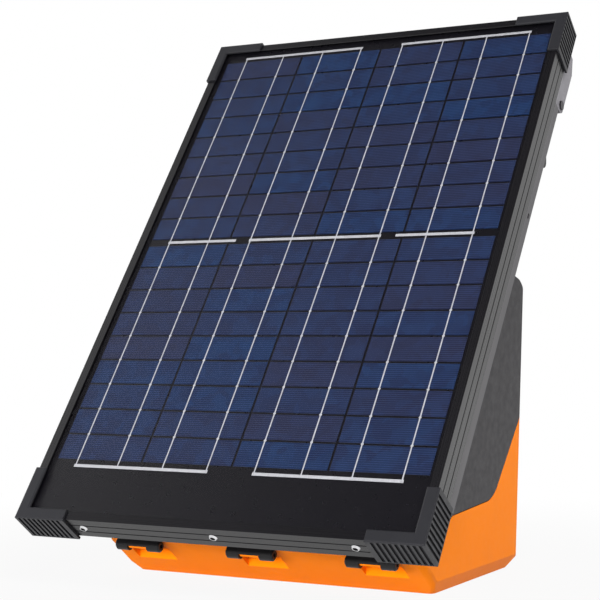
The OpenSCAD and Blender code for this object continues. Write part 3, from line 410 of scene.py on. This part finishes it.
# Finishes
ALONG_RAIL_X = (3, 2600, 2600)
ALONG_RAIL_Y = (2600, 3, 2600)
FRAME_BLACK = srgb(14, 13, 16)
orange_plastic = moulded("orange_plastic", srgb(255, 135, 6), gloss=0.08, mottle=0.02)
grey_plastic = moulded("grey_plastic", srgb(41, 39, 42), gloss=0.3)
guard_plastic = moulded("guard_plastic", srgb(35, 35, 38), roughness=0.4, gloss=0.28, grain=0.3)
black_plastic = moulded("black_plastic", srgb(20, 19, 20), roughness=0.42, gloss=0.3)
ear_plastic = moulded("ear_plastic", srgb(130, 128, 133))
black_sheet = moulded("black_sheet", srgb(14, 13, 17), roughness=0.28, gloss=0.3, grain=0, spread=0.008)
frame_x = anodised("frame_anodised_across", FRAME_BLACK, ALONG_RAIL_X)
frame_low = anodised("frame_anodised_low", FRAME_BLACK, ALONG_RAIL_X, ior=1.4)
frame_y = anodised("frame_anodised_upright", FRAME_BLACK, ALONG_RAIL_Y, ior=1.65)
rail_coat = anodised("rail_coating", srgb(66, 64, 67), ALONG_RAIL_Y, roughness=0.45)
cell_silicon = silicon("cell_silicon")
ribbon_tin = tinned("ribbon_tin")
panel_pane = cover_glass("panel_pane")
rivet_metal_and_painted_shade = blind_rivet("rivet_metal_and_painted_shade")
zinc = metal("zinc_plate", srgb(190, 190, 194))
dark_steel = metal("dark_steel", srgb(84, 82, 85), roughness=0.4)
brass = metal("turned_brass", srgb(214, 176, 98), roughness=0.28)
copper_wire = metal("enamelled_copper", srgb(176, 92, 44), roughness=0.3)
battery_case = moulded("battery_case", srgb(48, 48, 51), roughness=0.55)
solder_mask = printed_board("solder_mask")
core_sheets = laminated("core_sheets", srgb(92, 84, 80), pitch=0.5 * MM)
chip_epoxy = moulded("chip_epoxy", srgb(26, 26, 28), roughness=0.6)
film_yellow = moulded("film_yellow", srgb(206, 158, 44), roughness=0.35)
ceramic_tan = moulded("ceramic_tan", srgb(186, 156, 118), roughness=0.45)
mark_white = moulded("mark_white", srgb(232, 232, 230), roughness=0.45)
sleeve = moulded("capacitor_sleeve", srgb(38, 52, 96), roughness=0.25, grain=0.05)
lens = moulded("light_lens", srgb(96, 196, 92), roughness=0.15, grain=0.02)
red_plastic = moulded("red_plastic", srgb(190, 28, 24), roughness=0.38)
green_plastic = moulded("green_plastic", srgb(26, 128, 58), roughness=0.38)
seal_rubber = moulded("seal_rubber", srgb(28, 28, 28), roughness=0.8)
grip_rubber = moulded("grip_rubber", srgb(38, 38, 40), roughness=0.7)

FINISH_OF_SLOT = {
    "panel_glass": panel_pane, "solar_cell": cell_silicon, "tinned_ribbon": ribbon_tin,
    "black_sheet": black_sheet, "frame_aluminium": frame_x, "rail_aluminium": rail_coat,
    "guard_plastic": guard_plastic, "grey_plastic": grey_plastic, "orange_plastic": orange_plastic,
    "ear_plastic": ear_plastic, "black_plastic": black_plastic, "steel": zinc, "terminal_brass": brass,
    "battery_case": battery_case, "board_laminate": solder_mask, "transformer_core": core_sheets,
    "capacitor_sleeve": sleeve, "light_lens": lens, "button_red": red_plastic, "knob_red": red_plastic,
    "knob_green": green_plastic, "seal_rubber": seal_rubber, "grip_rubber": grip_rubber,
}
FINISH_OF_NODE = {
    "frame_rail_left": frame_y, "frame_rail_right": frame_y, "frame_rail_bottom": frame_low,
    "bottom_rivets": rivet_metal_and_painted_shade, "handle_pins": dark_steel,
}
for name, node in nodes.items():
    dress(node, FINISH_OF_NODE.get(name, FINISH_OF_SLOT[slot_of[name]]))

# Rounded copies of what shows
GUARD_FRONT_EDGE = 0.6 * MM
ROUNDED = {
    "base_tub": 0.9 * MM, "lid_housing": 0.8 * MM,
    "corner_guard_lower_left": 0.18 * MM, "corner_guard_lower_right": 0.18 * MM,
    "corner_guard_upper_left": 0.18 * MM, "corner_guard_upper_right": 0.18 * MM,
    "frame_rail_left": 0.25 * MM, "frame_rail_right": 0.25 * MM,
    "frame_rail_top": 0.25 * MM, "frame_rail_bottom": 0.25 * MM,
    "panel_rail_left": 0.4 * MM, "panel_rail_right": 0.4 * MM,
    "hinge_clip_left": 0.5 * MM, "hinge_clip_middle": 0.5 * MM, "hinge_clip_right": 0.5 * MM,
    "handle_ear_left": 0.8 * MM, "handle_ear_right": 0.8 * MM, "carry_handle": 1 * MM,
    "fence_knob": 0.5 * MM, "earth_knob": 0.5 * MM, "battery": 1.2 * MM, "battery_strap": 0.3 * MM,
    "junction_box": 0.6 * MM, "terminal_nuts": 0.3 * MM, "pulse_transformer": 0.4 * MM,
}
for node, width in ROUNDED.items():
    rounded(node, width, GUARD_FRONT_EDGE if slot_of[node] == "guard_plastic" else 0)


def turned(mesh, profile, place, steps=32):
    """Turn a profile of radius and height around the local Z axis."""
    before = set(mesh.verts)
    points = [mesh.verts.new((radius, 0, height)) for radius, height in profile]
    edges = [mesh.edges.new(pair) for pair in zip(points, points[1:])]
    bmesh.ops.spin(
        mesh, geom=points + edges, cent=(0, 0, 0), axis=(0, 0, 1), angle=math.tau, steps=steps,
        use_merge=True)
    made = [v for v in mesh.verts if v not in before]
    bmesh.ops.remove_doubles(mesh, verts=made, dist=WELD / 2)
    made = [v for v in mesh.verts if v not in before]
    bmesh.ops.transform(mesh, matrix=place, verts=made)


def edges_of(verts):
    """The edges at some points, each once and in a fixed order."""
    return list(dict.fromkeys(e for v in verts for e in v.link_edges))


def block(mesh, centre, size, place=Matrix(), bevel=0.3 * MM):
    """A box with rounded edges."""
    shape = place @ Matrix.Translation(centre) @ Matrix.Diagonal((*size, 1))
    bevelled(mesh, edges_of(bmesh.ops.create_cube(mesh, size=1, matrix=shape)["verts"]), bevel)


def can(mesh, radius, height, place, edge=0.6 * MM):
    """A round body that stands on its base, with a rounded top edge."""
    wall = [(0, 0), (radius, 0), (radius, height - edge)]
    top = [(radius - edge / 3, height - edge / 3), (radius - edge, height), (0, height)]
    turned(mesh, wall + top, place)


def finished(mesh):
    bmesh.ops.recalc_face_normals(mesh, faces=mesh.faces)
    return mesh


def middle_of(node):
    low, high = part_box(node)
    return (low + high) / 2


# Solder points where the ribbons cross the gaps between the rows
SOLDER_RISE = 0.08 * MM
SOLDER_FOOT_R = 1.15 * MM
SOLDER_TOP_R = 0.75 * MM


def ribbon_places():
    first = -(CELL_COLUMNS - 1) * CELL_PITCH_X / 2
    return [first + column * CELL_PITCH_X + side * RIBBON_OFFSET
            for column in range(CELL_COLUMNS) for side in (-1, 1)]


def row_gaps():
    """The middles of the gaps between the rows, without the wide one half-way."""
    first = FIELD_BOTTOM - CELL_GAP_Y / 2
    lower = [first + row * CELL_PITCH_Y for row in range(1, ROWS_PER_HALF)]
    upper = [first + row * CELL_PITCH_Y + MID_SHIFT for row in range(ROWS_PER_HALF + 1, 2 * ROWS_PER_HALF)]
    return lower + upper


solder = bmesh.new()
for x in ribbon_places():
    for y in row_gaps():
        spot = Matrix.Translation((x, y, SOLDER_RISE / 2 - RIBBON_FRONT))
        bmesh.ops.create_cone(
            solder, cap_ends=True, segments=10, radius1=SOLDER_FOOT_R, radius2=SOLDER_TOP_R,
            depth=SOLDER_RISE, matrix=PANEL_PLACE @ spot)
link_piece("solder_points", solder, "lid", ribbon_tin)

# Cross recesses on the screw heads
CROWN_R = 2.5 * MM
CROWN_TOP_R = 2 * MM
CROWN_H = 0.6 * MM
CROSS_LONG = 1.45 * MM
CROSS_THIN = 0.36 * MM
CROSS_DEEP = 0.55 * MM


def islands(node):
    """The points of each separate solid in a node."""
    mesh = welded(node)
    seen, groups = set(), []
    for start in mesh.verts:
        if start in seen:
            continue
        seen.add(start)
        stack, group = [start], []
        while stack:
            vert = stack.pop()
            group.append(vert.co.copy())
            others = [edge.other_vert(vert) for edge in vert.link_edges]
            fresh = [other for other in others if other not in seen]
            seen.update(fresh)
            stack.extend(fresh)
        groups.append(group)
    mesh.free()
    return groups


def skirt(mesh, edges):
    """New edges joined to a loop, and their points."""
    made = bmesh.ops.extrude_edge_only(mesh, edges=edges)["geom"]
    return ([e for e in made if isinstance(e, bmesh.types.BMEdge)],
            [v for v in made if isinstance(v, bmesh.types.BMVert)])


def cross_crown(mesh, place):
    """A low crown on a screw head, with a cross recess in it."""
    before = set(mesh.verts)
    rim = edges_of(bmesh.ops.create_circle(
        mesh, segments=24, radius=CROWN_TOP_R, matrix=Matrix.Translation((0, 0, CROWN_H)))["verts"])
    a, b = CROSS_LONG, CROSS_THIN
    arms = [(a, -b), (a, b), (b, b), (b, a), (-b, a), (-b, b),
            (-a, b), (-a, -b), (-b, -b), (-b, -a), (b, -a), (b, -b)]
    corners = [mesh.verts.new((x, y, CROWN_H)) for x, y in arms]
    cross = [mesh.edges.new((corners[i - 1], corners[i])) for i in range(len(corners))]
    bmesh.ops.triangle_fill(mesh, use_beauty=True, use_dissolve=False, edges=rim + cross)
    _, foot = skirt(mesh, rim)
    bmesh.ops.scale(mesh, vec=(CROWN_R / CROWN_TOP_R, CROWN_R / CROWN_TOP_R, 1), verts=foot)
    bmesh.ops.translate(mesh, vec=(0, 0, -CROWN_H), verts=foot)
    floor_edges, floor_points = skirt(mesh, cross)
    bmesh.ops.translate(mesh, vec=(0, 0, -CROSS_DEEP), verts=floor_points)
    bmesh.ops.triangle_fill(mesh, use_beauty=True, use_dissolve=False, edges=floor_edges)
    bmesh.ops.transform(mesh, matrix=place, verts=[v for v in mesh.verts if v not in before])


def crown_heads(node, axis):
    """Crowns on all screw heads of a node that point along an axis."""
    mesh = bmesh.new()
    turn = axis.to_track_quat("Z", "Y").to_matrix().to_4x4()
    for group in islands(node):
        top = max(point.dot(axis) for point in group)
        level = [point for point in group if point.dot(axis) > top - SAME_LEVEL]
        centre = sum(level, Vector()) / len(level)
        cross_crown(mesh, Matrix.Translation(centre) @ turn)
    link_piece(node + "_crowns", finished(mesh), body_of[node], zinc)


crown_heads("housing_screws", PANEL_BACK)
crown_heads("clip_screws", Vector((0, -1, 0)))
crown_heads("board_screws", Vector((0, -1, 0)))
crown_heads("strap_screws", Vector((0, 0, 1)))

# Soft grip with rings
GRIP_BORE = 6.03 * MM
GRIP_END = 2 * MM
GRIP_EDGE = 0.6 * MM
GRIP_RINGS = 19
RING_DEPTH = 0.5 * MM
RING_HALF_TOP = 0.9 * MM
RING_HALF_FLOOR = 0.5 * MM
grip_lo, grip_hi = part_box("handle_grip")
grip_r = (grip_hi.z - grip_lo.z) / 2
grip_len = grip_hi.x - grip_lo.x
grip_profile = [(GRIP_BORE, 0), (grip_r - GRIP_END, 0), (grip_r - GRIP_EDGE, GRIP_EDGE), (grip_r, GRIP_END)]
for ring in range(1, GRIP_RINGS + 1):
    at = ring * grip_len / (GRIP_RINGS + 1)
    grip_profile += [(grip_r, at - RING_HALF_TOP), (grip_r - RING_DEPTH, at - RING_HALF_FLOOR),
                     (grip_r - RING_DEPTH, at + RING_HALF_FLOOR), (grip_r, at + RING_HALF_TOP)]
grip_profile += [(grip_r, grip_len - GRIP_END), (grip_r - GRIP_EDGE, grip_len - GRIP_EDGE),
                 (grip_r - GRIP_END, grip_len), (GRIP_BORE, grip_len), (GRIP_BORE, 0)]
grip_mid = middle_of("handle_grip")
grip_start = Matrix.Translation((grip_lo.x, grip_mid.y, grip_mid.z))
grip = bmesh.new()
turned(grip, grip_profile, grip_start @ Matrix.Rotation(QUARTER_TURN, 4, "Y"), steps=40)
grip_piece = link_piece("grip_rings", finished(grip), "handle", grip_rubber)
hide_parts("handle_grip")

# Parts on the circuit board, in axes of its front: x across, y up, z towards the battery
board_front = Vector((0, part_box("circuit_board")[0].y, middle_of("circuit_board").z))
BOARD_PLACE = Matrix.Translation(board_front) @ Matrix.Rotation(QUARTER_TURN, 4, "X")


def board_part(name, material, blocks=(), cans=()):
    """Blocks as x, y and size, and cans as x, y, radius and height, all in millimetres on the board."""
    mesh = bmesh.new()
    for x, y, w, d, h in blocks:
        block(mesh, (x * MM, y * MM, h * MM / 2), (w * MM, d * MM, h * MM), BOARD_PLACE)
    for x, y, r, h in cans:
        can(mesh, r * MM, h * MM, BOARD_PLACE @ Matrix.Translation((x * MM, y * MM, 0)))
    link_piece(name, finished(mesh), "lid", material)


CHIP_PLACES = [(0, 12), (0, -8)]
CHIP = (9.4, 6.2, 3.2)
CHIP_LEG = (0.6, 1.4, 1.6)
LEG_PLACES = [(x, y) for x in (-3.8, -1.3, 1.3, 3.8) for y in (-3.6, 3.6)]
POWER_CHIP = (-2, 28, 10, 4.6, 14)
HEAT_PLATE = (-2, 31.2, 10, 1.3, 18)
RESISTOR = (7, 2.4, 2.6)
chips = [(x, y, *CHIP) for x, y in CHIP_PLACES]
legs = [(x + leg_x, y + leg_y, *CHIP_LEG) for x, y in CHIP_PLACES for leg_x, leg_y in LEG_PLACES]
board_part("chips", chip_epoxy, chips + [POWER_CHIP])
board_part("chip_legs", zinc, legs + [HEAT_PLATE])
board_part("wire_terminals", green_plastic, [(-44, -31, 18, 8, 9), (-71, -10, 8, 18, 9)])
board_part("film_capacitors", film_yellow, [(38, 27, 18, 7, 12), (61, 27, 12, 6, 10)])
board_part("small_capacitors", sleeve,
           cans=[(10, -29, 4, 11), (0, -31, 3.2, 9), (78, 10, 4, 11)])
board_part("resistors", ceramic_tan,
           [(x, y, *RESISTOR) for x in (-52, -38, -24) for y in (26, 32)])

# Winding between the core's legs
WIRE_PITCH = 0.9 * MM
WIRE_CREST = 0.3 * MM
WIRE_VALLEY = 0.02 * MM
COIL_HALF = 8.8 * MM
core_lo, core_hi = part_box("pulse_transformer")
coil_r = (core_hi.y - core_lo.y) / 2
coil_profile = [(0, -COIL_HALF)]
for wire in range(int(2 * COIL_HALF / WIRE_PITCH)):
    at = -COIL_HALF + wire * WIRE_PITCH
    coil_profile += [(coil_r + WIRE_VALLEY, at), (coil_r + WIRE_CREST, at + WIRE_PITCH / 2)]
coil_profile += [(coil_r + WIRE_VALLEY, COIL_HALF), (0, COIL_HALF)]
winding = bmesh.new()
turned(winding, coil_profile, Matrix.Translation(middle_of("pulse_transformer")), steps=48)
link_piece("coil_winding", finished(winding), "lid", copper_wire)

# End plate of the storage capacitor
END_R = 13.5 * MM
END_T = 0.35 * MM
END_EDGE = 0.15 * MM
can_mid = middle_of("storage_capacitor")
can_end = Matrix.Translation((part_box("storage_capacitor")[1].x, can_mid.y, can_mid.z))
end_plate = bmesh.new()
can(end_plate, END_R, END_T, can_end @ Matrix.Rotation(QUARTER_TURN, 4, "Y"), END_EDGE)
link_piece("capacitor_end", finished(end_plate), "lid", zinc)

# Battery top: seats of the terminals, and a vent bar with caps
SEAT = Vector((13, 9, 2)) * MM
TAB_HALF = 3.15 * MM
VENT_BAR = Vector((96, 12, 0.8)) * MM
VENT_IN = 13 * MM
VENT_CAPS = 6
CAP_PITCH = 15 * MM
CAP_R = 4.2 * MM
CAP_H = 0.5 * MM
CAP_EDGE = 0.2 * MM
battery_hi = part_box("battery")[1]
tabs_lo, tabs_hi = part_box("battery_terminals")
for name, x, slot, material in (
        ("terminal_seat_red", tabs_hi.x - TAB_HALF, "knob_red", red_plastic),
        ("terminal_seat_black", tabs_lo.x + TAB_HALF, "black_plastic", black_plastic)):
    seat = bmesh.new()
    block(seat, (x, middle_of("battery_terminals").y, battery_hi.z + SEAT.z / 2), SEAT)
    link_piece(name, finished(seat), "base", material)
vent = bmesh.new()
vent_y = battery_hi.y - VENT_IN
block(vent, (0, vent_y, battery_hi.z + VENT_BAR.z / 2), VENT_BAR)
for cap in range(VENT_CAPS):
    cap_x = (cap - (VENT_CAPS - 1) / 2) * CAP_PITCH
    can(vent, CAP_R, CAP_H, Matrix.Translation((cap_x, vent_y, battery_hi.z + VENT_BAR.z)), CAP_EDGE)
link_piece("battery_vent", finished(vent), "base", battery_case)

# Mark on the button, an open ring and a bar, which faces the back
TO_BACK = Matrix.Rotation(-QUARTER_TURN, 4, "X")
MARK_R = 4.2 * MM
MARK_W = 0.9 * MM
MARK_H = 0.3 * MM
MARK_BAR = 5 * MM
MARK_EDGE = 0.1 * MM
MARK_START = math.radians(120)
MARK_ARC = math.radians(300)
button_face = Vector((0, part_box("power_button")[1].y, middle_of("power_button").z))
mark = bmesh.new()
section = ((0, 0), (MARK_W, 0), (MARK_W, MARK_H), (0, MARK_H))
points = [mark.verts.new((MARK_R + x, 0, z)) for x, z in section]
ring_end = mark.faces.new(points)
bmesh.ops.rotate(mark, verts=points, cent=(0, 0, 0), matrix=Matrix.Rotation(MARK_START, 3, "Z"))
bmesh.ops.spin(
    mark, geom=[ring_end], cent=(0, 0, 0), axis=(0, 0, 1), angle=MARK_ARC, steps=40, use_merge=False)
bmesh.ops.transform(mark, matrix=Matrix.Translation(button_face) @ TO_BACK, verts=mark.verts)
block(mark, button_face + Vector((0, MARK_H / 2, MARK_R)), (MARK_W, MARK_H, MARK_BAR), bevel=MARK_EDGE)
link_piece("button_mark", finished(mark), "button", mark_white)

# Dome of the status light
LIGHT_R = 2.5 * MM
LIGHT_RISE = 0.6 * LIGHT_R
LIGHT_SUNK = 0.05 * MM
light_mid = middle_of("status_light")
light_face = Matrix.Translation((light_mid.x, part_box("status_light")[1].y - LIGHT_SUNK, light_mid.z))
angles = [math.radians(degrees) for degrees in range(0, 91, 10)]
arc = [(LIGHT_R * math.cos(angle), LIGHT_RISE * math.sin(angle)) for angle in angles]
dome = bmesh.new()
turned(dome, arc, light_face @ TO_BACK, steps=24)
link_piece("light_dome", finished(dome), "lid", lens)

# Floor: its share of pure white near the object and far off, and the distances where these hold
FLOOR_SIZE = 12
WHITE_NEAR, WHITE_FAR = 0.92, 1
NEAR, FAR = 0.2, 0.7

# Studio: its brightness around the horizon, overhead and at the left, and the directions between them
HORIZON_LIGHT, OVERHEAD_LIGHT, LEFT_LIGHT = 0.8, 0.05, 0.9
HORIZON_TOP, OVERHEAD_START = 0.35, 0.8
LEFT_START, LEFT_FULL = -0.42, -0.68


def make_floor():
    """A floor that is pure white far off, and open to the object's shadow around it."""
    mesh = bmesh.new()
    bmesh.ops.create_grid(mesh, x_segments=1, y_segments=1, size=FLOOR_SIZE / 2)
    floor = link_mesh("floor", mesh)
    paint = Finish("floor_white", Base_Color=srgb(168, 168, 168), Roughness=0.9)
    away = paint.node("VectorMath", {0: paint.place()}, operation="LENGTH").outputs["Value"]
    white = paint.between(away, WHITE_NEAR, WHITE_FAR, NEAR, FAR, "SMOOTHSTEP")
    backdrop = paint.seen_by("Is Camera Ray", "Is Glossy Ray", "Is Transmission Ray")
    share = paint.math("MULTIPLY", backdrop, white)
    glow = paint.node("Emission", {"Color": WHITE}).outputs["Emission"]
    paint.surface(paint.mix_shaders(share, paint.shader.outputs["BSDF"], glow))
    dress(floor, paint.material)


def make_world():
    """A studio that is bright around the horizon and at the left, and white where the camera sees it."""
    world = bpy.data.worlds.new("studio")
    bpy.context.scene.world = world
    world.use_nodes = True
    studio = Wiring(world.node_tree)
    across, _, up = studio.axes(studio.node("TexCoord").outputs["Generated"])
    fall = studio.between(up, HORIZON_LIGHT, OVERHEAD_LIGHT, HORIZON_TOP, OVERHEAD_START, "SMOOTHSTEP")
    side = studio.between(across, OVERHEAD_LIGHT, LEFT_LIGHT, LEFT_START, LEFT_FULL, "SMOOTHSTEP")
    soft = studio.tree.nodes["Background"]
    studio.put(soft.inputs["Color"], WHITE)
    studio.put(soft.inputs["Strength"], studio.math("MAXIMUM", fall, side))
    shown = studio.node("Background", {"Color": WHITE, "Strength": 1}).outputs["Background"]
    seen = studio.mix_shaders(studio.seen_by("Is Camera Ray"), soft.outputs["Background"], shown)
    studio.put(studio.tree.nodes["World Output"].inputs["Surface"], seen)


def soft_box(name, place, aim, size, power):
    """A lamp that lights the object, while only the studio around it is mirrored."""
    data = bpy.data.lights.new(name, "AREA")
    data.shape = "RECTANGLE"
    data.size, data.size_y = size
    data.energy = power
    lamp = link_object(name, data)
    lamp.location = place
    lamp.rotation_euler = (Vector(aim) - Vector(place)).to_track_quat("-Z", "Y").to_euler()
    lamp.visible_glossy = False


def make_camera():
    data = bpy.data.cameras.new("photo_camera")
    data.sensor_width = CAMERA_SENSOR
    data.lens = CAMERA_LENS
    camera = link_object("photo_camera", data)
    camera.location = CAMERA_AT
    turn = CAMERA_FORWARD.to_track_quat("-Z", "Y").to_matrix() @ Matrix.Rotation(CAMERA_ROLL, 3, "Z")
    camera.rotation_euler = turn.to_euler()
    bpy.context.scene.camera = camera


make_floor()
make_world()
soft_box("key_box", place=(1.3, -0.9, 1.7), aim=(0, 0, 0.15), size=(1.3, 1.3), power=41)
soft_box("front_box", place=(-0.1, -2.0, 0.32), aim=(0, -0.1, 0.05), size=(2.2, 0.5), power=54)
soft_box("back_box", place=(-0.5, 2.0, 0.9), aim=(0, 0.1, 0.2), size=(1.6, 1.2), power=27)
make_camera()
bpy.context.scene.view_settings.view_transform = "Standard"
